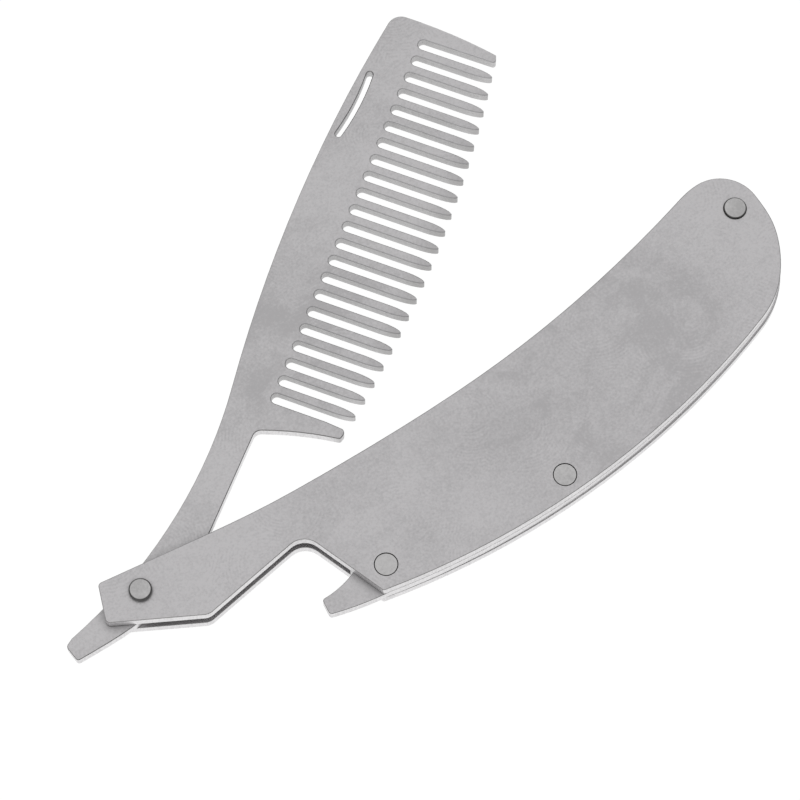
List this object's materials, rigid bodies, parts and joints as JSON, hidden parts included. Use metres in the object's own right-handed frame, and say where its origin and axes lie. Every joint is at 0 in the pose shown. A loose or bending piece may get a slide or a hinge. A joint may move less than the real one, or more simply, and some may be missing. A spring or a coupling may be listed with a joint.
{
  "type": "folding beard comb",
  "caption": "Flat steel pocket comb on a rivet pivot that folds between two curved handle plates; a notch and hook in the handle form a bottle opener.",
  "frame": {"origin": "on the pivot axis, at the outer face of the rear scale", "axes": "+X from the pivot rivet to the rivet at the far end of the handle, +Y to the side the comb opens to, +Z out of the front scale"},
  "size_m": [0.1308, 0.0839, 0.0068],
  "materials": {
    "plate_steel": "satin, tumbled after stamping, faint polishing marks",
    "comb_steel": "satin, faint round polishing marks near the root of the teeth",
    "rivet_steel": "satin, heads peened flat"
  },
  "bodies": {
    "handle": {"rear_scale": "plate_steel", "front_scale": "plate_steel", "spacer": "plate_steel", "pivot_rivet": "rivet_steel", "hook_rivet": "rivet_steel", "middle_rivet": "rivet_steel", "tip_rivet": "rivet_steel"},
    "comb": {"comb": "comb_steel"}
  },
  "joints": [
    {"name": "comb_pivot", "type": "hinge", "parent": "handle", "child": "comb", "pos_m": [0, 0, 0.003], "axis": [0, 0, 1], "range_deg": [-31, 286]}
  ]
}
